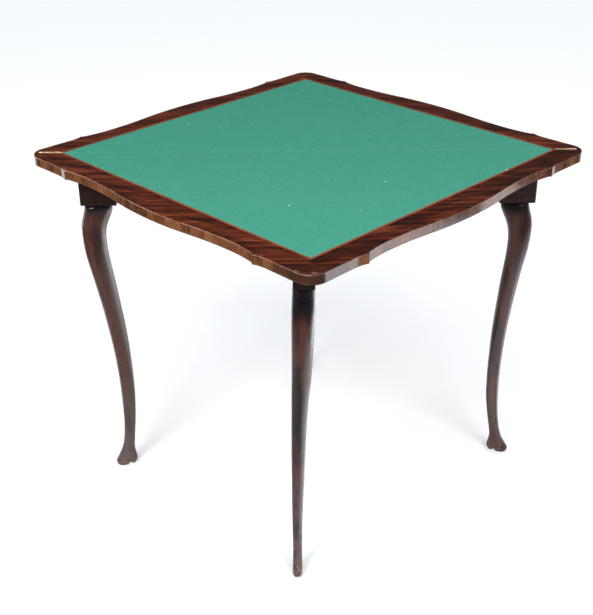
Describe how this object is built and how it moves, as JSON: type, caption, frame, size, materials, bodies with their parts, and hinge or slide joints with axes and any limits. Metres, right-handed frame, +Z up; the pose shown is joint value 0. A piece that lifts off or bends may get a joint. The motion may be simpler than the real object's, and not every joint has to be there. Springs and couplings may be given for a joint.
{
  "type": "folding card table",
  "caption": "Card table folded on its diagonal: triangular closed, square and baize-lined open, with shaped crossbanded edges, brass hinges, a swinging gate leg and cabriole legs.",
  "frame": {"origin": "on the floor, under the middle of the diagonal fold of the open top", "axes": "+X along the fold to the right, +Y from the front corner to the back corner, +Z up"},
  "size_m": [1.095, 1.095, 0.7671],
  "materials": {
    "rosewood_border": "french polish",
    "rosewood_edge": "french polish",
    "stringing": "french polish",
    "baize": "wool baize",
    "brass": "worn",
    "leg_wood": "satin polish",
    "rail_wood": "satin polish",
    "secondary_wood": "planed",
    "steel_screws": "dull",
    "iron": "dull"
  },
  "bodies": {
    "frame": {"back_border_left": "rosewood_border", "back_border_right": "rosewood_border", "back_cloth": "baize", "back_edge_band_left": "rosewood_edge", "back_edge_band_right": "rosewood_edge", "back_hinge_plate_left": "brass", "back_hinge_plate_right": "brass", "back_hinge_screws": "brass", "back_leaf_core": "secondary_wood", "back_post": "rail_wood", "back_stringing_left": "stringing", "back_stringing_right": "stringing", "corner_post_left": "rail_wood", "corner_post_right": "rail_wood", "gate_block_screws": "steel_screws", "gate_hinge_block": "rail_wood", "gate_hinge_pin": "iron", "glue_blocks": "secondary_wood", "leaf_hinge_pin_left": "brass", "leaf_hinge_pin_right": "brass", "leaf_screws": "steel_screws", "leg_back": "leg_wood", "leg_left": "leg_wood", "leg_right": "leg_wood", "long_rail": "rail_wood", "post_screws": "steel_screws", "rail_dowels": "secondary_wood", "side_rail_left": "rail_wood", "side_rail_right": "rail_wood"},
    "front_leaf": {"front_border_left": "rosewood_border", "front_border_right": "rosewood_border", "front_cloth": "baize", "front_edge_band_left": "rosewood_edge", "front_edge_band_right": "rosewood_edge", "front_hinge_plate_left": "brass", "front_hinge_plate_right": "brass", "front_hinge_screws": "brass", "front_leaf_core": "secondary_wood", "front_show_veneer": "rosewood_border", "front_stringing_left": "stringing", "front_stringing_right": "stringing"},
    "gate": {"gate_arm": "rail_wood", "gate_leg": "leg_wood", "gate_leg_block": "rail_wood"}
  },
  "joints": [
    {"name": "leaf_fold", "type": "hinge", "parent": "frame", "child": "front_leaf", "pos_m": [0, 0, 0.7653], "axis": [-1, 0, 0], "range_deg": [0, 180]},
    {"name": "gate_swing", "type": "hinge", "parent": "frame", "child": "gate", "pos_m": [-0.01, 0.022, 0.6], "axis": [0, 0, 1], "range_deg": [0, 90]}
  ]
}
